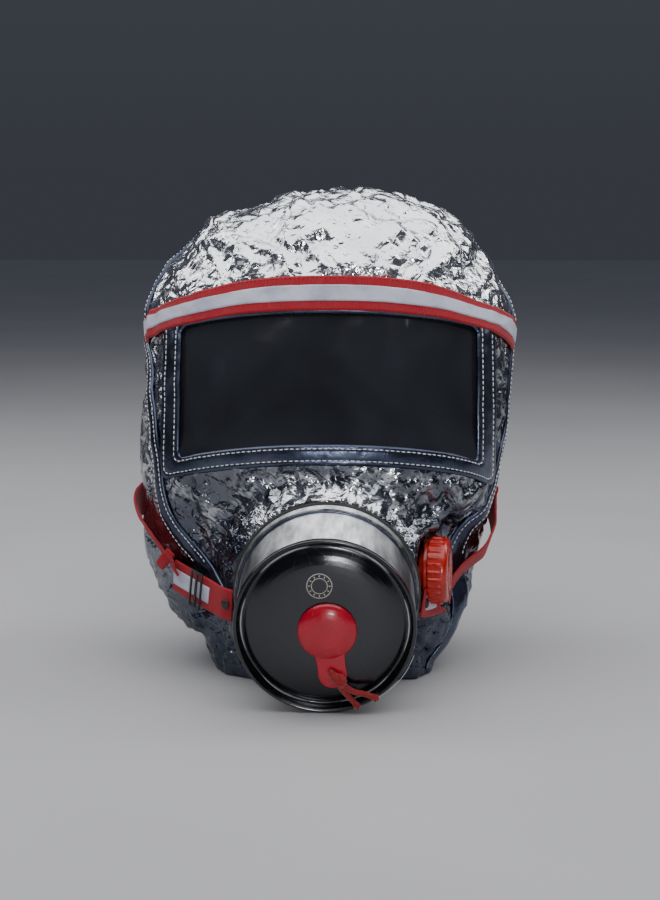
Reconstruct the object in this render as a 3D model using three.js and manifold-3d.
// Fire-escape smoke hood with a filter canister, exhale valve and head harness.
// Millimetres, +Z up, front towards -Y, the wearer's left towards +X. It stands on its hem and the
// canister's lower rim. Fabric sheets are offsets of one closed-form hood surface.
import * as THREE from 'three';
import { mergeVertices } from 'three/addons/utils/BufferGeometryUtils.js';
import Module from 'manifold-3d';

const wasm = await Module();
wasm.setup();

// ---------------------------------------------------------------- driving dimensions
const DEG = Math.PI / 180;
const FULL_TURN = 2 * Math.PI;
const Y_CENTRE = 12.62;             // centres the whole object's box on the origin
const HOOD_ORIGIN = [0, 12 + Y_CENTRE, 150];
const LEAN = 19 * DEG;              // the hood leans back by this
const CLOTH = 1.6;                  // aluminised cloth with its padding

const CROWN_BASE = 70;              // heights are measured in the leaning hood frame
const CROWN_RISE = 92;
const CROWN_FULLNESS = 0.87;
const LEVEL_DROP = 100;             // height lost per unit of level below the crown

const CAN_R = 54;
const CAN_LENGTH = 60;
const CAN_TILT = 8 * DEG;           // the canister's front points down by this
const CAN_FRONT = [0, -150 + Y_CENTRE, 53.69];
const VALVE_ORIGIN = [61.5, -65.5 + Y_CENTRE, 71.5];    // on the wearer's left cheek
const VALVE_YAW = 8 * DEG;          // the valve turns towards the front by this

const WINDOW_HALF_W = 93.6;
const WINDOW_TOP = 54;
const WINDOW_BOTTOM = -28;
const WINDOW_CORNER_R = 4;

const STRAP_W = 25;
const RIGHT_STRAP_W = 20;
const STRAP_T = 1.4;

// Hood outline, each row [height, half width]
const HALF_WIDTHS = [
  [-200, 52], [-180, 62], [-152, 80], [-142, 90], [-130, 98], [-112, 105],
  [-89, 111], [-63, 116], [-42, 118.5], [-12, 121], [20, 122], [70, 122],
];
// [height, depth forward of the hood axis]
const FRONT_DEPTHS = [
  [-200, 32], [-180, 34], [-130, 40], [-100, 48], [-80, 60],
  [-60, 77], [-45, 87], [-25, 93.5], [20, 96], [70, 94],
];
// [height, depth behind the hood axis]
const BACK_DEPTHS = [
  [-200, 30], [-180, 42], [-150, 62], [-138, 74], [-125, 82], [-110, 88],
  [-90, 92], [-60, 96], [-25, 98], [20, 99], [70, 97],
];
// [height, superellipse exponent of the section]
const EXPONENTS = [[-200, 2], [-110, 2], [-60, 2.1], [0, 2.2], [70, 2.15]];
// [height, seam angle from the front in degrees], on the -X and +X sides
const SEAM_MINUS_X = [
  [-200, 48], [-180, 50], [-130, 58], [-110, 62], [-95, 65], [-80, 68],
  [-65, 71], [-50, 75], [-25, 79], [0, 83], [40, 88], [70, 90],
];
const SEAM_PLUS_X = [
  [-200, 80], [-180, 82], [-130, 85], [-110, 84], [-95, 80], [-80, 75],
  [-65, 73], [-50, 75], [-25, 79], [0, 83], [40, 88], [70, 90],
];

// ---------------------------------------------------------------- small maths
const { clamp } = THREE.MathUtils;
const mix = (from, to, share) => from + (to - from) * share;
const sub = (left, right) => left.map((value, i) => value - right[i]);
const add = (base, step, scale = 1) => base.map((value, i) => value + step[i] * scale);
const dot = (left, right) => left[0] * right[0] + left[1] * right[1] + left[2] * right[2];
const cross = (left, right) => [
  left[1] * right[2] - left[2] * right[1],
  left[2] * right[0] - left[0] * right[2],
  left[0] * right[1] - left[1] * right[0],
];
const unit = (vector) => {
  const length = Math.hypot(...vector);
  return vector.map((value) => value / length);
};
const polar = (radius, angle, x = 0, y = 0) => [
  x + radius * Math.cos(angle),
  y + radius * Math.sin(angle),
];
const times = (count, make) => Array.from({ length: count }, (_, i) => make(i));

const smoothMax = (first, second, blend) => {
  const share = clamp(0.5 + 0.5 * (first - second) / blend, 0, 1);
  return second * (1 - share) + first * share + blend * share * (1 - share);
};
const smoothMin = (first, second, blend) => -smoothMax(-first, -second, blend);

function bisect(low, high, isTooLow) {
  for (let i = 0; i < 40; i++) {
    const middle = (low + high) / 2;
    if (isTooLow(middle)) low = middle;
    else high = middle;
  }
  return (low + high) / 2;
}

// Monotone cubic through a table of [x, y], held constant beyond its ends
function monotoneCubic(table) {
  const last = table.length - 1;
  const xs = table.map(([x]) => x);
  const ys = table.map(([, y]) => y);
  const gaps = times(last, (i) => xs[i + 1] - xs[i]);
  const slopes = times(last, (i) => (ys[i + 1] - ys[i]) / gaps[i]);
  const tangents = new Array(last + 1).fill(0);
  for (let i = 1; i < last; i++) {
    if (slopes[i - 1] * slopes[i] > 0) {
      const before = 2 * gaps[i] + gaps[i - 1];
      const after = gaps[i] + 2 * gaps[i - 1];
      tangents[i] = (before + after) / (before / slopes[i - 1] + after / slopes[i]);
    }
  }
  tangents[0] = slopes[0];
  tangents[last] = slopes[last - 1];
  return (query) => {
    const x = clamp(query, xs[0], xs[last]);
    let i = 0;
    while (i < last - 1 && x > xs[i + 1]) i++;
    const share = (x - xs[i]) / gaps[i];
    const square = share * share;
    const cube = square * share;
    return (2 * cube - 3 * square + 1) * ys[i]
      + (cube - 2 * square + share) * gaps[i] * tangents[i]
      + (-2 * cube + 3 * square) * ys[i + 1]
      + (cube - square) * gaps[i] * tangents[i + 1];
  };
}

// ---------------------------------------------------------------- frames
const leanCos = Math.cos(LEAN);
const leanSin = Math.sin(LEAN);
const toWorld = ([x, y, z]) => [
  x,
  HOOD_ORIGIN[1] + y * leanCos + z * leanSin,
  HOOD_ORIGIN[2] - y * leanSin + z * leanCos,
];
const toHood = (point) => {
  const y = point[1] - HOOD_ORIGIN[1];
  const z = point[2] - HOOD_ORIGIN[2];
  return [point[0], y * leanCos - z * leanSin, y * leanSin + z * leanCos];
};
const axisInHood = (origin, axis) => ({
  origin: toHood(origin),
  direction: sub(toHood(add(origin, axis)), toHood(origin)),
});
const matrixOf = (xAxis, yAxis, zAxis, origin) => new THREE.Matrix4()
  .makeBasis(...[xAxis, yAxis, zAxis].map((axis) => new THREE.Vector3(...axis)))
  .setPosition(...origin);
// Local z along the given axis, local x level, local y upwards
function axisFrame(zAxis, origin) {
  const xAxis = unit(cross([0, 0, 1], zAxis));
  return matrixOf(xAxis, cross(zAxis, xAxis), zAxis, origin);
}

const CAN_AXIS = [0, -Math.cos(CAN_TILT), -Math.sin(CAN_TILT)];
const CAN_REAR = add(CAN_FRONT, CAN_AXIS, -CAN_LENGTH);
const VALVE_AXIS = [Math.cos(VALVE_YAW), -Math.sin(VALVE_YAW), 0];
const canInHood = axisInHood(CAN_REAR, CAN_AXIS);
const valveInHood = axisInHood(VALVE_ORIGIN, VALVE_AXIS);
const canFrame = axisFrame(CAN_AXIS, CAN_REAR);
const valveFrame = axisFrame(VALVE_AXIS, VALVE_ORIGIN);
const hoodFrame = matrixOf(
  [1, 0, 0], [0, leanCos, -leanSin], [0, leanSin, leanCos], HOOD_ORIGIN,
);

// ---------------------------------------------------------------- the hood surface
// phi: 0 is the front, +-90 degrees the sides, 180 degrees the back.
// level: 0 at the top, 1 at the crown's base, and growing down the body from there.
const halfWidth = monotoneCubic(HALF_WIDTHS);
const frontDepth = monotoneCubic(FRONT_DEPTHS);
const backDepth = monotoneCubic(BACK_DEPTHS);
const exponent = monotoneCubic(EXPONENTS);
const seamMinusX = monotoneCubic(SEAM_MINUS_X);
const seamPlusX = monotoneCubic(SEAM_PLUS_X);

// Flat dents pressed along an axis. Beyond `radius` the limit moves away by
// slope * distance + curve * distance^2, measured from `seat` on the axis.
const CAN_DENT = { radius: 56, seat: -2.5, slope: 1.6, curve: 0.004, blend: 14 };
const VALVE_DENT = { radius: 20, reach: 60, slope: 0.5, curve: 0.03, blend: 8 };
// Rows dip towards the sides around the height of the forehead tape (all in levels)
const SIDE_DIP = { centre: 1.03, reach: 0.42, depth: 0.04 };

const levelAt = (height) => (height <= CROWN_BASE
  ? 1 + (CROWN_BASE - height) / LEVEL_DROP
  : Math.acos(Math.pow((height - CROWN_BASE) / CROWN_RISE, 1 / CROWN_FULLNESS)) / (90 * DEG));
const bodyHeight = (level) => (level < 1 ? CROWN_BASE : CROWN_BASE - (level - 1) * LEVEL_DROP);
const seamAngle = (level, side) => (side < 0 ? seamMinusX : seamPlusX)(bodyHeight(level)) * DEG;

function alongAndAcross(point, { origin, direction }) {
  const offset = sub(point, origin);
  const along = dot(offset, direction);
  return [along, Math.sqrt(Math.max(dot(offset, offset) - along * along, 0))];
}

function dentForCanister(point) {
  const [along, radius] = alongAndAcross(point, canInHood);
  const beyond = Math.max(radius - CAN_DENT.radius, 0);
  const limit = CAN_DENT.seat - CAN_DENT.slope * beyond - CAN_DENT.curve * beyond ** 2;
  return add(point, canInHood.direction, smoothMax(along, limit, CAN_DENT.blend) - along);
}

function dentForValve(point) {
  const [along, radius] = alongAndAcross(point, valveInHood);
  if (radius >= VALVE_DENT.reach || point[0] <= 0) return point;
  const beyond = Math.max(radius - VALVE_DENT.radius, 0);
  const limit = VALVE_DENT.slope * beyond + VALVE_DENT.curve * beyond ** 2;
  return add(point, valveInHood.direction, smoothMin(along, limit, VALVE_DENT.blend) - along);
}

function levelSurface(phi, level) {
  const crownAngle = clamp(level, 0, 1) * 90 * DEG;
  const onCrown = level < 1;
  const section = bodyHeight(level);
  const crownRise = CROWN_RISE * Math.pow(Math.max(Math.cos(crownAngle), 0), CROWN_FULLNESS);
  const height = onCrown ? CROWN_BASE + crownRise : section;
  const scale = onCrown ? Math.pow(Math.sin(crownAngle), CROWN_FULLNESS) : 1;
  if (scale < 1e-9) return [0, 0, height];
  const sine = Math.sin(phi);
  const cosine = Math.cos(phi);
  const width = halfWidth(section) * scale;
  const depth = (cosine > 0 ? frontDepth : backDepth)(section) * scale;
  const power = exponent(section);
  const sum = Math.pow(Math.abs(sine / width), power) + Math.pow(Math.abs(cosine / depth), power);
  const radius = Math.pow(sum, -1 / power);
  const point = [radius * sine, -radius * cosine, height];
  return dentForValve(cosine > 0 ? dentForCanister(point) : point);
}

function surface(phi, level) {
  const weight = Math.max(0, 1 - ((level - SIDE_DIP.centre) / SIDE_DIP.reach) ** 2);
  const sideways = Math.abs(Math.sin(phi)) ** 3;
  return levelSurface(phi, level + SIDE_DIP.depth * weight * weight * sideways);
}

function surfaceNormal(phi, level) {
  if (level < 0.02) return [0, 0, 1];
  const step = 0.004;
  const around = sub(surface(phi + step, level), surface(phi - step, level));
  const down = sub(surface(phi, level + step), surface(phi, level - step));
  const normal = unit(cross(down, around));
  const [x, y, z] = surface(phi, level);
  const outward = [x, y, level < 1 ? z - 20 : 0];
  return dot(normal, outward) < 0 ? normal.map((value) => -value) : normal;
}

// World point at a distance outside the hood surface
const offsetPoint = (phi, level, distance) => toWorld(
  add(surface(phi, level), surfaceNormal(phi, level), distance),
);

// ---------------------------------------------------------------- geometry helpers
// Welds equal vertices, drops collapsed triangles and turns the faces outwards
function clean(geometry) {
  const bare = new THREE.BufferGeometry();
  bare.setAttribute('position', geometry.getAttribute('position'));
  bare.setIndex(geometry.index);
  const welded = mergeVertices(bare, 1e-4);
  const all = welded.index.array;
  const kept = [];
  for (let i = 0; i < all.length; i += 3) {
    const corners = [all[i], all[i + 1], all[i + 2]];
    if (new Set(corners).size === 3) kept.push(...corners);
  }
  const positions = welded.getAttribute('position').array;
  const vertex = (index) => positions.subarray(index * 3, index * 3 + 3);
  let volume = 0;
  for (let i = 0; i < kept.length; i += 3) {
    volume += dot(vertex(kept[i]), cross(vertex(kept[i + 1]), vertex(kept[i + 2])));
  }
  if (volume < 0) {
    for (let i = 0; i < kept.length; i += 3) {
      [kept[i + 1], kept[i + 2]] = [kept[i + 2], kept[i + 1]];
    }
  }
  welded.setIndex(kept);
  return welded;
}

function solid(geometry) {
  const cleaned = clean(geometry);
  return new wasm.Manifold(new wasm.Mesh({
    numProp: 3,
    vertProperties: new Float32Array(cleaned.getAttribute('position').array),
    triVerts: new Uint32Array(cleaned.index.array),
  }));
}
const union = (...parts) => parts.map(solid).reduce((whole, part) => whole.add(part));
const largest = (shape) => shape.decompose().sort((one, two) => two.volume() - one.volume())[0];

function toGeometry(shape) {
  const mesh = shape.getMesh();
  const geometry = new THREE.BufferGeometry();
  const positions = new Float32Array(mesh.vertProperties);
  geometry.setAttribute('position', new THREE.BufferAttribute(positions, 3));
  geometry.setIndex(new THREE.BufferAttribute(new Uint32Array(mesh.triVerts), 1));
  return geometry;
}

// Collects vertices and quads, each quad split along its first-to-third diagonal
function meshBuilder() {
  const positions = [];
  const indices = [];
  return {
    vertex: (point) => positions.push(...point),
    quad: (first, second, third, fourth) => {
      indices.push(first, second, third, first, third, fourth);
    },
    build: () => {
      const geometry = new THREE.BufferGeometry();
      geometry.setAttribute('position', new THREE.Float32BufferAttribute(positions, 3));
      geometry.setIndex(indices);
      return geometry;
    },
  };
}

// Closed sheet between two faces; pointAt(i, j, side) gives its grid points
function sheet(columns, rows, pointAt, wrap = false) {
  const { vertex, quad, build } = meshBuilder();
  const across = wrap ? columns : columns + 1;
  for (const side of [0, 1]) {
    for (let j = 0; j <= rows; j++) {
      for (let i = 0; i < across; i++) vertex(pointAt(i, j, side));
    }
  }
  const at = (i, j, side) => side * across * (rows + 1) + j * across + (wrap ? i % across : i);
  for (let j = 0; j < rows; j++) {
    for (let i = 0; i < columns; i++) {
      quad(at(i, j, 0), at(i, j + 1, 0), at(i + 1, j + 1, 0), at(i + 1, j, 0));
      quad(at(i, j, 1), at(i + 1, j, 1), at(i + 1, j + 1, 1), at(i, j + 1, 1));
    }
  }
  for (let i = 0; i < columns; i++) {
    quad(at(i, 0, 0), at(i + 1, 0, 0), at(i + 1, 0, 1), at(i, 0, 1));
    quad(at(i, rows, 0), at(i, rows, 1), at(i + 1, rows, 1), at(i + 1, rows, 0));
  }
  for (let j = 0; j < rows && !wrap; j++) {
    quad(at(0, j, 0), at(0, j, 1), at(0, j + 1, 1), at(0, j + 1, 0));
    quad(at(columns, j, 0), at(columns, j + 1, 0), at(columns, j + 1, 1), at(columns, j, 1));
  }
  return build();
}

function trace(path, points) {
  points.forEach((point, i) => (i ? path.lineTo(...point) : path.moveTo(...point)));
  path.closePath();
  return path;
}
const polygon = (points) => trace(new THREE.Shape(), points);
const circleHole = (radius, y) => new THREE.Path().absarc(0, y, radius, 0, FULL_TURN, true);
const extrude = (shape, depth, curveSegments = 12) => (
  new THREE.ExtrudeGeometry(shape, { depth, bevelEnabled: false, curveSegments })
);

// Turned part about local z from an outline of [radius, z]
function lathe(outline, segments) {
  const points = outline.map(([radius, z]) => new THREE.Vector2(radius, z));
  if (outline[0][0] > 0 || outline.at(-1)[0] > 0) points.push(points[0].clone());
  return new THREE.LatheGeometry(points, segments).rotateX(Math.PI / 2);
}
const ring = (inner, outer, bottom, top, segments) => lathe(
  [[inner, bottom], [outer, bottom], [outer, top], [inner, top]], segments,
);
const disc = (radius, bottom, top, segments) => (
  new THREE.CylinderGeometry(radius, radius, top - bottom, segments)
    .rotateX(Math.PI / 2)
    .translate(0, 0, (bottom + top) / 2)
);
const torus = (radius, tube, around) => new THREE.TorusGeometry(radius, tube, 6, around);
const box = (centre, size) => new THREE.BoxGeometry(...size).translate(...centre);
const crossBars = (length, width, z, thickness) => [
  box([0, 0, z], [length, width, thickness]),
  box([0, 0, z], [width, length, thickness]),
];

// ---------------------------------------------------------------- materials
const standard = (color, { roughness, metalness = 0 }) => (
  new THREE.MeshStandardMaterial({ color, roughness, metalness })
);
const foil = standard(0xc9cdd2, { roughness: 0.25, metalness: 1 });
const foilBack = standard(0xc3c7cc, { roughness: 0.28, metalness: 1 });
const foilEdge = standard(0x9aa2b0, { roughness: 0.22, metalness: 1 });
const liningCloth = standard(0x1b1d20, { roughness: 0.85 });
const visorFilm = standard(0x3a3d42, { roughness: 0.08 });
const redWebbing = standard(0xb3202a, { roughness: 0.75 });
const reflective = standard(0xd9dbe6, { roughness: 0.45 });
const steel = standard(0xc4c6c8, { roughness: 0.24, metalness: 1 });
const polishedSteel = standard(0x8d9093, { roughness: 0.08, metalness: 1 });
const darkSteel = standard(0x6c6f73, { roughness: 0.35, metalness: 1 });
const blackRubber = standard(0x15161a, { roughness: 0.6 });
const redGloss = standard(0xc3141f, { roughness: 0.22 });
const redRubber = standard(0xc8202a, { roughness: 0.3 });
const redCord = standard(0xb01c22, { roughness: 0.8 });
const neckFabric = standard(0x17181b, { roughness: 0.8 });
const maskRubber = standard(0x202226, { roughness: 0.55 });
const carbon = standard(0x121212, { roughness: 0.95 });
const desiccant = standard(0xd8d5cc, { roughness: 0.95 });
const catalyst = standard(0x4a3a2d, { roughness: 0.95 });
const filterPaper = standard(0xe9e4d4, { roughness: 0.9 });
const blackPlastic = standard(0x1d1e20, { roughness: 0.45 });
const silicone = standard(0xd5d8da, { roughness: 0.4 });

// ---------------------------------------------------------------- groups
const group = new THREE.Group();
const hood = new THREE.Group();
const harness = new THREE.Group();
const canister = new THREE.Group();
const valve = new THREE.Group();
group.add(hood, harness, canister, valve);
canister.applyMatrix4(canFrame);
valve.applyMatrix4(valveFrame);

// The tolerance simplifies solids; plain geometries are only cleaned
function put(parent, name, shape, material, tolerance = 0.02) {
  const geometry = shape.isBufferGeometry ? clean(shape) : toGeometry(shape.simplify(tolerance));
  geometry.computeVertexNormals();
  const mesh = new THREE.Mesh(geometry, material);
  mesh.name = name;
  parent.add(mesh);
}

// ---------------------------------------------------------------- cutters (world)
const canSolid = (geometry) => solid(geometry.applyMatrix4(canFrame));
const valveSolid = (geometry) => solid(geometry.applyMatrix4(valveFrame));
const canCut = (radius) => canSolid(disc(radius, -40, 60, 44));
const valveCut = (radius, reach = 25) => valveSolid(disc(radius, -reach, reach, 36));
// Everything below z
const floorCut = (z) => solid(box([0, 0, z - 100], [600, 600, 200]));

// Window outline, grown by `margin`, swept forwards through the hood's front
function windowPrism(margin, topMargin = margin) {
  const halfW = WINDOW_HALF_W + margin;
  const radius = WINDOW_CORNER_R + margin * 0.3;
  const inset = halfW - radius;
  const topAt = (x) => WINDOW_TOP + topMargin - 1.5 * (x / halfW) ** 2;
  const bottomAt = (x) => WINDOW_BOTTOM - margin - 2.5 * (x / halfW) ** 2;
  const edge = (from, to, heightAt) => times(5, (i) => {
    const x = mix(from, to, i / 4);
    return [x, heightAt(x)];
  });
  const corner = (x, y, start) => [1, 2, 3].map((i) => polar(radius, start + i / 4 * 90 * DEG, x, y));
  const topCentre = topAt(inset) - radius;
  const bottomCentre = bottomAt(inset) + radius;
  const sideTop = topAt(halfW) - radius - 1;
  const sideBottom = bottomAt(halfW) + radius + 1;
  const outline = polygon([
    ...edge(-inset, inset, bottomAt),
    ...corner(inset, bottomCentre, -90 * DEG),
    [halfW, sideBottom],
    [halfW, sideTop],
    ...corner(inset, topCentre, 0),
    ...edge(inset, -inset, topAt),
    ...corner(-inset, topCentre, 90 * DEG),
    [-halfW, sideTop],
    [-halfW, sideBottom],
    ...corner(-inset, bottomCentre, 180 * DEG),
  ]);
  const upright = matrixOf([1, 0, 0], [0, 0, 1], [0, -1, 0], [0, 0, 0]);
  const prism = extrude(outline, 190).applyMatrix4(upright).translate(0, -14, 0);
  return solid(prism.applyMatrix4(hoodFrame));
}

// ---------------------------------------------------------------- hood panels and linings
const frontLevels = [
  0, 0.14, 0.32, 0.5, 0.68, 0.84,
  ...[69, 40, 8, -22, -42, -56, -68, -80, -91, -102, -113, -124, -136, -150, -166, -184]
    .map(levelAt),
];
const backLevels = frontLevels.slice(0, 20);
const liningCrown = [0.08, 0.32, 0.5, 0.68, 0.84];
const frontLiningLevels = [
  ...liningCrown,
  ...[69, 40, 8, -22, -42, -56, -68, -80, -91, -102, -113, -124].map(levelAt),
];
const backLiningLevels = [
  ...liningCrown,
  ...[69, 40, 8, -42, -68, -91, -113, -136].map(levelAt),
];
// offsets: of the two faces from the surface; trim: degrees kept clear of each seam;
// apart: how far the front and back sheets are each moved away from each other
const PANEL = { offsets: [0, -CLOTH], trim: 0.12, apart: 0.16 };
const LINING = { offsets: [-5.2, -6], trim: 0.6, apart: 0.5 };

function frontSheet(levels, columns, { offsets, trim, apart }) {
  return sheet(columns, levels.length - 1, (i, j, side) => {
    const share = i / columns * 2 - 1;
    const phi = share * (seamAngle(levels[j], share) - trim * DEG);
    return add(offsetPoint(phi, levels[j], offsets[side]), [0, -1, 0], apart);
  });
}
function backSheet(levels, columns, { offsets, trim, apart }) {
  return sheet(columns, levels.length - 1, (i, j, side) => {
    const level = levels[j];
    const start = seamAngle(level, 1) + trim * DEG;
    const end = FULL_TURN - seamAngle(level, -1) - trim * DEG;
    const point = offsetPoint(mix(start, end, i / columns), level, offsets[side]);
    return add(point, [0, 1, 0], apart);
  });
}

const valveSeatCut = valveSolid(disc(22, 0.05, 30, 36));
const frontPanel = solid(frontSheet(frontLevels, 26, PANEL))
  .subtract(windowPrism(0))
  .subtract(canCut(CAN_R + 0.4))
  .subtract(canSolid(ring(CAN_R, 59, -2.4, 30, 44)))
  .subtract(valveCut(13.1))
  .subtract(valveSeatCut)
  .subtract(floorCut(0));
const backPanel = solid(backSheet(backLevels, 18, PANEL))
  .subtract(valveSeatCut)
  .subtract(floorCut(0));
put(hood, 'hood_front_panel', largest(frontPanel), foil, 0.05);
put(hood, 'hood_back_panel', largest(backPanel), foilBack, 0.05);

const liningValveCut = valveCut(42, 60);
const frontLining = solid(frontSheet(frontLiningLevels, 13, LINING))
  .subtract(windowPrism(2.5))
  .subtract(liningValveCut)
  .subtract(canCut(76))
  .subtract(floorCut(13));
const backLining = solid(backSheet(backLiningLevels, 9, LINING))
  .subtract(liningValveCut)
  .subtract(floorCut(13));
put(hood, 'front_lining', largest(frontLining), liningCloth, 0.15);
put(hood, 'back_lining', largest(backLining), liningCloth, 0.15);

// ---------------------------------------------------------------- window and forehead bands
// Band across the front, reaching `span` degrees to each side
function band(heights, columns, span, offsets) {
  const levels = heights.map(levelAt);
  return sheet(columns, levels.length - 1, (i, j, side) => (
    offsetPoint((i / columns * 2 - 1) * span * DEG, levels[j], offsets[side])
  ));
}

// Visor sheet behind the window, and the folded border in front of it
const visor = solid(band([69, 40, 8, -22, -42], 18, 74, [-2.3, -3.1]))
  .intersect(windowPrism(10, 7));
put(hood, 'visor_window', visor, visorFilm, 0.05);
const border = solid(band([69, 40, 8, -22, -42, -56], 22, 77, [1.15, 0.5]))
  .intersect(windowPrism(12.5, 8))
  .subtract(windowPrism(0.6));
put(hood, 'window_border', border, foilEdge, 0.05);

// Forehead tape and the reflective stripe along its middle
put(hood, 'forehead_tape', band([77.5, 69, 56], 22, 83, [1.6, 2.5]), redWebbing);
const foreheadStripe = band([71.8, 69, 62.4], 22, 82.6, [2.9, 3.4]);
put(hood, 'forehead_reflective_stripe', foreheadStripe, reflective);

// ---------------------------------------------------------------- seam binding
// Strip over the ear-to-ear seam that follows the surface on both sides of it
const BINDING_HALF_W = 4;
const BINDING_OFFSETS = [1.4, 2.3];
const BINDING_END = -118;           // height of its lower ends

function bindingPoint(side, level, share, distance) {
  const shift = share * BINDING_HALF_W;
  if (level >= 1) {
    const angle = seamAngle(level, side);
    const [x, y] = surface(angle, level);
    return offsetPoint(side * (angle - shift / Math.hypot(x, y)), level, distance);
  }
  const [x] = surface(90 * DEG, level);
  const reach = Math.hypot(x, shift);
  const phi = Math.atan2(side * x, shift);
  const shifted = bisect(0, 1.2, (trial) => {
    const point = surface(phi, trial);
    return Math.hypot(point[0], point[1]) < reach;
  });
  return offsetPoint(phi, shifted, distance);
}

function seamBinding() {
  const upwards = [
    ...frontLevels.filter((level) => level >= 1 && level < levelAt(BINDING_END)).reverse(),
    0.95,
    ...frontLevels.filter((level) => level > 0.02 && level < 0.9).reverse(),
  ];
  const path = [
    ...upwards.map((level) => [-1, level]),
    ...[...upwards].reverse().map((level) => [1, level]),
  ];
  const strip = sheet(4, path.length - 1, (i, j, face) => (
    bindingPoint(...path[j], i / 2 - 1, BINDING_OFFSETS[face])
  ));
  return largest(solid(strip)
    .subtract(canCut(58.8))
    .subtract(valveCut(23))
    .subtract(frontPanel)
    .subtract(backPanel));
}
put(hood, 'seam_binding', seamBinding(), foilEdge, 0.03);

// ---------------------------------------------------------------- neck seal
const NECK = { y: 3, radius: 47, z: 5.2, rise: 5.5, thickness: 1.2, columns: 36 };

// Point just inside the hood at the height of the seal's rim
function neckRim(phi) {
  const level = bisect(1.5, 3.6, (trial) => offsetPoint(phi, trial, -2.2)[2] > NECK.z);
  return offsetPoint(phi, level, -2.9);
}

// Elastic membrane from the hem to the neck ring
function neckSeal() {
  const rim = times(NECK.columns, (i) => neckRim(i / NECK.columns * FULL_TURN));
  return sheet(NECK.columns, 2, (i, j, side) => {
    const share = j / 2;
    const [x, y] = rim[i];
    const [neckX, neckY] = polar(NECK.radius, Math.atan2(y - NECK.y, x), 0, NECK.y);
    const z = NECK.z + NECK.rise * share * share;
    return [mix(x, neckX, share), mix(y, neckY, share), z + (side ? NECK.thickness : 0)];
  }, true);
}
put(hood, 'neck_seal', solid(neckSeal()).subtract(canCut(57.6)), neckFabric);
const neckElastic = torus(NECK.radius - 2.4, 1.9, 28).translate(0, NECK.y, NECK.z + 6.1);
put(hood, 'neck_elastic', neckElastic, blackRubber);

// ---------------------------------------------------------------- canister case
// Local z = 0 at the hood, +z out of the front, +y up. Outlines are [radius, z].
const SHELL_WALL = 0.8;
const REAR_COVER = [[14, -28], [15.2, -28], [15.2, -7.4], [54, -7.4], [54, -6.3], [14, -6.3]];
const FRONT_LID = [
  [12.5, 60.3], [30, 60.0], [44, 59.3], [49.8, 58.7], [50.8, 58.7], [51.6, 59.7], [52.5, 60.7],
  [53.4, 60.9], [54.1, 60.4], [54.3, 59.4], [54.3, 57.8], [49, 57.8], [30, 59.1], [12.5, 59.4],
];
const REAR_GASKET = [[55.6, -2.1], [57.8, -2.1], [58.2, -1], [57.8, 0.7], [55.6, 0.9]];

put(canister, 'can_shell', ring(CAN_R - SHELL_WALL, CAN_R, -6, 57.5, 44), steel);
put(canister, 'can_rear_cover', lathe(REAR_COVER, 36), darkSteel);
put(canister, 'can_front_lid', lathe(FRONT_LID, 36), polishedSteel);
put(canister, 'can_collar', ring(54.35, 55.25, -2.1, 9, 44), foilEdge);

// Clamp hoop with its lug and screw, built on +y and turned to the clamp angle
const CLAMP_ANGLE = -115;           // degrees from +x
const CLAMP_TURN = (CLAMP_ANGLE - 90) * DEG;
const CLAMP_Z = 4.5;
const onClampScrew = (geometry) => geometry
  .rotateY(Math.PI / 2)
  .translate(0, 59.8, CLAMP_Z)
  .rotateZ(CLAMP_TURN);
const clampHoop = union(
  ring(55.7, 56.7, 1.2, 8, 44),
  box([0, 59.3, CLAMP_Z], [9, 6, 5.4]).rotateZ(CLAMP_TURN),
).subtract(solid(onClampScrew(disc(1.9, -12, 12, 12))));
put(canister, 'clamp_hoop', clampHoop, steel);
const clampScrew = union(disc(1.6, -6.5, 6, 12), disc(2.9, 5, 7.5, 12));
put(canister, 'clamp_screw', onClampScrew(toGeometry(clampScrew)), darkSteel);
put(canister, 'rear_gasket', lathe(REAR_GASKET, 40), blackRubber);

// ---------------------------------------------------------------- canister filling
const SCREEN = { radius: 52.8, thickness: 0.8, hole: 8, innerRing: 20, outerRing: 39 };
const BED_R = 52.6;

// Disc with diamond holes: one in the middle, a ring of 6 and, optionally, a ring of 12
function screen(z, hasOuterRing) {
  const centres = [[0, 0], ...times(6, (i) => polar(SCREEN.innerRing, i * 60 * DEG))];
  if (hasOuterRing) {
    centres.push(...times(12, (i) => polar(SCREEN.outerRing, (i * 30 + 15) * DEG)));
  }
  const shape = new THREE.Shape().absarc(0, 0, SCREEN.radius, 0, FULL_TURN);
  for (const [x, y] of centres) {
    const diamond = times(4, (i) => polar(SCREEN.hole, -i * 90 * DEG, x, y));
    shape.holes.push(trace(new THREE.Path(), diamond));
  }
  return extrude(shape, SCREEN.thickness).translate(0, 0, z);
}
const bed = (bottom, top) => disc(BED_R, bottom, top, 28);
put(canister, 'rear_screen', screen(-5.9, true), darkSteel);
put(canister, 'carbon_bed', bed(-4.8, 13), carbon);
put(canister, 'bed_screen', screen(13.3, false), darkSteel);
put(canister, 'desiccant_bed', bed(14.4, 25.5), desiccant);
put(canister, 'catalyst_bed', bed(25.8, 38.5), catalyst);
put(canister, 'filter_support_screen', screen(38.8, false), darkSteel);

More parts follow.
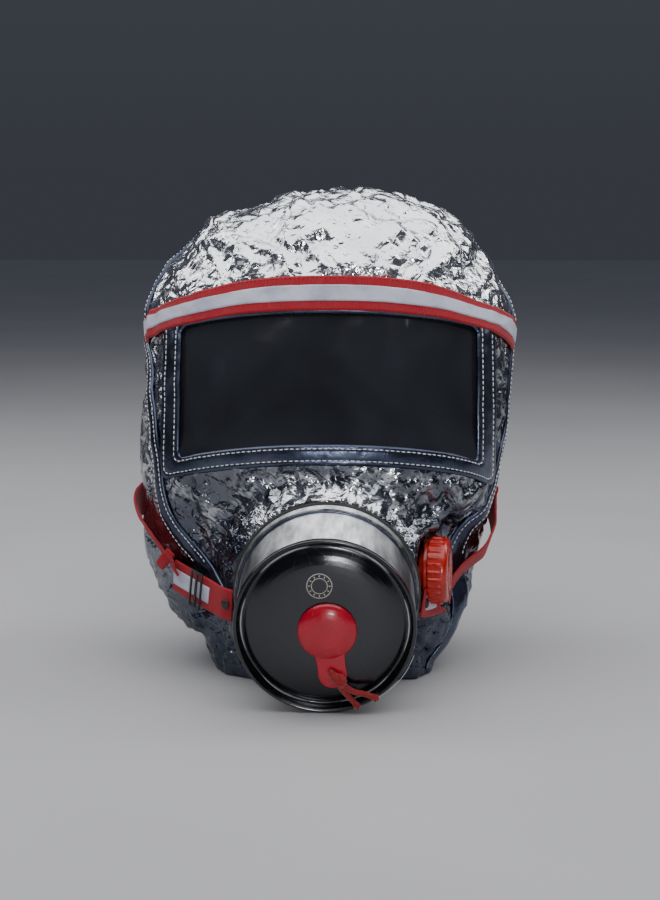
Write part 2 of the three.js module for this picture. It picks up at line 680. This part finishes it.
// Zigzag paper, trimmed to a disc
const PLEATS = { steps: 14, width: 105, low: 41.2, high: 51.3, above: 1, below: 0.2 };
function particulateFilter() {
  const fold = (rise) => times(PLEATS.steps + 1, (i) => [
    -PLEATS.width / 2 + PLEATS.width * i / PLEATS.steps,
    (i % 2 ? PLEATS.high : PLEATS.low) + rise,
  ]);
  const zigzag = polygon([...fold(-PLEATS.below), ...fold(PLEATS.above).reverse()]);
  const paper = extrude(zigzag, 108).rotateX(Math.PI / 2).translate(0, 54, 0);
  return solid(paper).intersect(solid(disc(52.4, 39.9, 52.6, 28)));
}
put(canister, 'particulate_filter', particulateFilter(), filterPaper);
put(canister, 'front_screen', screen(52.9, true), darkSteel);

// Round wire ring with six waves along z
const SPRING = { radius: 50, wire: 0.9, z: 55.35, wave: 0.35, around: 36, section: 6 };
function retainingSpring() {
  const { around, section } = SPRING;
  const { vertex, quad, build } = meshBuilder();
  const at = (i, k) => (i % around) * section + k % section;
  for (let i = 0; i < around; i++) {
    for (let k = 0; k < section; k++) {
      const angle = i / around * FULL_TURN;
      const [outward, upward] = polar(SPRING.wire, k / section * FULL_TURN, SPRING.radius);
      const z = SPRING.z + SPRING.wave * Math.cos(6 * angle) + upward;
      vertex([...polar(outward, angle), z]);
      quad(at(i, k), at(i + 1, k), at(i + 1, k + 1), at(i, k + 1));
    }
  }
  return build();
}
put(canister, 'retaining_spring', retainingSpring(), darkSteel);

// ---------------------------------------------------------------- canister plugs
const TAB = { turn: 7.3 * DEG, halfW: 8.6, start: -8, end: -28.2, hole: -27.2 };
const INLET_PLUG = [
  [0, 54.6], [12.1, 54.6], [12.1, 60.6], [17.8, 60.6], [17.8, 62.4],
  [16.9, 64.0], [13.4, 65.7], [7.5, 66.8], [0, 67.1],
];
const OUTLET_PLUG = [[0, -20], [13.6, -20], [13.6, -28.3], [17, -28.3], [17, -30.9], [0, -30.9]];
const CORD_R = 1.5;

// Front plug; its pull tab hangs down, turned a little towards +X
function inletPlug() {
  const outline = new THREE.Shape()
    .moveTo(-TAB.halfW, TAB.start)
    .absarc(0, TAB.end, TAB.halfW, Math.PI, FULL_TURN, false)
    .lineTo(TAB.halfW, TAB.start);
  outline.closePath();
  outline.holes.push(circleHole(1.9, TAB.hole));
  const tab = extrude(outline, 2.4, 8).translate(0, 0, 61.1).rotateZ(TAB.turn);
  return union(lathe(INLET_PLUG, 28), tab);
}
put(canister, 'inlet_plug', inletPlug(), redGloss);

function cord(points, steps) {
  const extrudePath = new THREE.CatmullRomCurve3(points.map((p) => new THREE.Vector3(...p)));
  const section = polygon(times(6, (i) => polar(CORD_R, (i + 0.5) / 6 * FULL_TURN)));
  return new THREE.ExtrudeGeometry(section, { steps, extrudePath, bevelEnabled: false });
}
// Two cord tails and a knot at the tab's hole
function plugCord() {
  const x = -TAB.hole * Math.sin(TAB.turn);
  const y = TAB.hole * Math.cos(TAB.turn);
  const throughHole = cord([
    [x, y, 61.4], [x + 0.2, y - 0.1, 64.6], [x + 3, y - 2.5, 66.6],
    [14, -36, 65.2], [22, -42, 63.8], [28.5, -45.5, 63.2], [31.5, -48, 62.9],
  ], 14);
  const shortTail = cord([
    [x + 0.5, y + 1.5, 66.4], [x + 3.5, y - 4.5, 66.9],
    [9.5, -37, 65], [15, -44.5, 63.9], [20.5, -51, 63],
  ], 10);
  const knot = torus(2.7, CORD_R, 10).translate(x + 0.6, y - 0.6, 66);
  return union(throughHole, shortTail, knot);
}
put(canister, 'plug_cord', plugCord(), redCord);

const pullLoop = torus(5, 1.4, 14).rotateX(Math.PI / 2).translate(0, 0, -35.6);
put(canister, 'outlet_plug', union(lathe(OUTLET_PLUG, 28), pullLoop), redRubber);

// ---------------------------------------------------------------- inhale valve and half mask
const inhaleSeat = union(ring(11, 13.6, -11.4, -9.8, 32))
  .add(union(disc(3.2, -11.4, -9.8, 16), disc(1.4, -17.2, -9.8, 12)))
  .add(union(...crossBars(23, 2.4, -10.6, 1.6)));
put(canister, 'inhale_valve_seat', inhaleSeat, blackPlastic);
put(canister, 'inhale_valve_flap', ring(1.9, 12.3, -12.6, -11.8, 30), silicone);

const MASK = [
  [15.6, -7.9], [24, -8.4], [34, -13.5], [41, -25], [44.5, -40], [47.5, -49.5], [47.5, -51.5],
  [44.5, -51.8], [42, -40], [38.4, -26.2], [32, -16.3], [23, -10.9], [15.6, -10.7],
];
// Cup that opens towards the wearer, drawn narrow and tall above its axis
function halfMask() {
  const cup = lathe(MASK, 30);
  const position = cup.getAttribute('position');
  for (let i = 0; i < position.count; i++) {
    const x = position.getX(i);
    const y = position.getY(i);
    const share = clamp((-position.getZ(i) - 12) / 30, 0, 1);
    if (y > 0) position.setX(i, x * (1 - 0.3 * share * y / 48));
    position.setY(i, y * (y > 0 ? 1 + 0.14 * share : 1 - 0.06 * share));
  }
  return cup;
}
put(canister, 'half_mask', halfMask(), maskRubber);
put(canister, 'mask_lock_ring', ring(15.5, 20, -14.4, -11.4, 36), blackPlastic);

// ---------------------------------------------------------------- exhale valve
// Local z points out of the cheek
const VALVE_BODY = [
  [10.2, 3.4], [12.2, 3.4], [12.2, 2.4], [19, 2.4], [19, 0.4],
  [12.8, 0.4], [12.8, -11], [11.3, -11], [11.3, 1.2], [10.2, 1.2],
];
const CAP = { rib: 21, groove: 20.35, inner: 19.5, ribs: 24 };
const CAP_TOP = [[0, 11], [CAP.groove, 11], [CAP.groove, 12.8], [19.6, 14.4], [17.6, 15.2], [0, 15.2]];

const valveBody = union(
  lathe(VALVE_BODY, 28),
  ...crossBars(21.4, 2.2, 1.9, 1.4),
  disc(1.1, 1.4, 7.2, 10),
);
put(valve, 'exhale_valve_body', valveBody, blackPlastic);
put(valve, 'exhale_valve_flap', ring(1.5, 11.8, 3.7, 4.4, 30), silicone);

// Ribbed hollow cap with four radial slots in its top
function valveCap() {
  const corners = CAP.ribs * 4;
  const ribbed = polygon(times(corners, (i) => (
    polar(i % 4 < 2 ? CAP.rib : CAP.groove, i / corners * FULL_TURN)
  )));
  let cap = union(extrude(ribbed, 9.6).translate(0, 0, 3), lathe(CAP_TOP, 24))
    .subtract(solid(disc(CAP.inner, -1, 13.2, 24)));
  for (let i = 0; i < 4; i++) {
    cap = cap.subtract(solid(box([12.5, 0, 14], [8, 2.2, 4]).rotateZ(i * 90 * DEG)));
  }
  return cap;
}
put(valve, 'exhale_valve_cap', valveCap(), redGloss);

const hexagon = polygon(times(6, (i) => polar(17.5, i * 60 * DEG)));
hexagon.holes.push(circleHole(13.1, 0));
put(valve, 'exhale_valve_nut', extrude(hexagon, 3.6, 16).translate(0, 0, -9.6), blackPlastic);

// ---------------------------------------------------------------- strap runs
// Left and right are as seen from the front: the left strap is on the -X side.
// Stations are [phi in degrees, height, stand-off from the hood surface].
const LEFT_STATIONS = [
  [-56.5, -112, 3.6], [-60, -111.5, 5.6], [-67, -108.5, 7.6], [-75, -101, 6.2],
  [-82, -89, 3.2], [-88, -76, 3.2], [-93, -66, 3.2], [-97, -58, 3.2],
];
const RIGHT_STATIONS = [
  [57.5, -119, 3.6], [62, -127, 3.6], [68, -131, 4], [75, -128, 4.2],
  [82, -115, 4.6], [87, -98, 4.4], [92, -78, 3.8], [97, -58, 3.2],
];
const REAR_STATIONS = [
  [-100.5, -51, 3.2], [-112, -36, 3.2], [-128, -20, 3.2], [-150, -6, 3.2], [-180, 0, 3.2],
  [-210, -6, 3.2], [-232, -20, 3.2], [-248, -36, 3.2], [-259.5, -51, 3.2],
];

function strapRun(stations, steps) {
  const knots = stations.map(([angle, height, standOff]) => (
    new THREE.Vector3(...offsetPoint(angle * DEG, levelAt(height), standOff))
  ));
  const knotNormals = stations.map(([angle, height]) => {
    const normal = surfaceNormal(angle * DEG, levelAt(height));
    return new THREE.Vector3(...sub(toWorld(normal), toWorld([0, 0, 0])));
  });
  const curve = new THREE.CatmullRomCurve3(knots, false, 'centripetal');
  const run = { points: [], normals: [] };
  for (let i = 0; i <= steps; i++) {
    const place = i / steps * (knots.length - 1);
    const knot = Math.min(Math.floor(place), knots.length - 2);
    const normal = knotNormals[knot].clone().lerp(knotNormals[knot + 1], place - knot);
    run.points.push(curve.getPoint(i / steps).toArray());
    run.normals.push(normal.normalize().toArray());
  }
  return run;
}

// Pulls the stretch between two points of a run straight
function straighten({ points, normals }, first, last) {
  const normal = unit(add(normals[first], normals[last]));
  const [start, end] = [points[first], points[last]];
  for (let i = first; i <= last; i++) {
    const share = (i - first) / (last - first);
    points[i] = start.map((value, axis) => mix(value, end[axis], share));
    normals[i] = normal;
  }
}

// Tangent and square-on normal of a run at point i
function runAxes({ points, normals }, i) {
  const after = points[Math.min(i + 1, points.length - 1)];
  const tangent = unit(sub(after, points[Math.max(i - 1, 0)]));
  const normal = unit(add(normals[i], tangent, -dot(normals[i], tangent)));
  return { tangent, normal };
}
function runFrame(run, i) {
  const { tangent, normal } = runAxes(run, i);
  return matrixOf(tangent, cross(normal, tangent), normal, run.points[i]);
}

// Flat ribbon along a run; `middle` adds edge lines that bound a central strip of that width
function ribbon(run, { width, thickness = STRAP_T, rise = 0, middle = 0 }) {
  const { vertex, quad, build } = meshBuilder();
  const xs = middle ? [-width / 2, -middle / 2, middle / 2, width / 2] : [-width / 2, width / 2];
  const section = [
    ...xs.map((x) => [x, -thickness / 2]),
    ...[...xs].reverse().map((x) => [x, thickness / 2]),
  ];
  const size = section.length;
  run.points.forEach((point, i) => {
    const { tangent, normal } = runAxes(run, i);
    const across = cross(tangent, normal);
    for (const [x, z] of section) vertex(add(add(point, across, x), normal, z + rise));
  });
  const end = (run.points.length - 1) * size;
  for (let base = 0; base < end; base += size) {
    for (let k = 0; k < size; k++) {
      const next = (k + 1) % size;
      quad(base + k, base + next, base + size + next, base + size + k);
    }
  }
  for (let k = 0; k < size / 2 - 1; k++) {
    const opposite = size - 1 - k;
    quad(opposite, opposite - 1, k + 1, k);
    quad(end + k, end + k + 1, end + opposite - 1, end + opposite);
  }
  return build();
}

// ---------------------------------------------------------------- harness
const leftRun = strapRun(LEFT_STATIONS, 26);
straighten(leftRun, 2, 12);         // the stretch under the slider
const rightRun = strapRun(RIGHT_STATIONS, 26);
const rearRun = strapRun(REAR_STATIONS, 34);
const STRIPE_W = 11;

put(harness, 'left_strap', ribbon(leftRun, { width: STRAP_W, middle: STRIPE_W }), redWebbing);
put(harness, 'right_strap', ribbon(rightRun, { width: RIGHT_STRAP_W, middle: 9 }), redWebbing);
put(harness, 'rear_head_strap', ribbon(rearRun, { width: STRAP_W }), redWebbing);

// Reflective stripe on the left strap behind the slider
const stripeRun = {
  points: leftRun.points.slice(11),
  normals: leftRun.normals.slice(11),
};
const strapStripe = ribbon(stripeRun, { width: STRIPE_W, thickness: 0.5, rise: 1.5 });
put(harness, 'left_strap_stripe', strapStripe, reflective);

// Three-bar slider round the left strap
function slider() {
  const slotLength = 26.4;
  const slot = (x) => box([x, 0, 2.6], [3.4, slotLength, 8]);
  return solid(box([0, 0, 0.4], [15, 31, 6]))
    .subtract(solid(box([0, 0, 0], [40, slotLength, 3.2])))
    .subtract(union(slot(-3.6), slot(3.6)));
}
const sliderPiece = toGeometry(slider()).applyMatrix4(runFrame(leftRun, 7));
put(harness, 'left_slider', sliderPiece, blackPlastic);

// Domed rivets at the front ends of the side straps
const RIVET = [[0, 0], [3.2, 0], [3, 0.8], [1.8, 1.5], [0, 1.7]];
for (const [name, run] of [['left_strap_rivet', leftRun], ['right_strap_rivet', rightRun]]) {
  const normal = run.normals[1];
  const frame = axisFrame(normal, add(run.points[1], normal, 1.5));
  put(harness, name, lathe(RIVET, 16).applyMatrix4(frame), steel);
}

// Keeper that holds the middle of the rear strap on the back panel
const keeper = solid(box([0, 0, 0.15], [16, 34, 5.1]))
  .subtract(solid(box([0, 0, 0], [40, 27, 3.4])));
const keeperPiece = toGeometry(keeper).applyMatrix4(runFrame(rearRun, 17));
put(harness, 'rear_strap_loop', keeperPiece, foilEdge);

export default group;
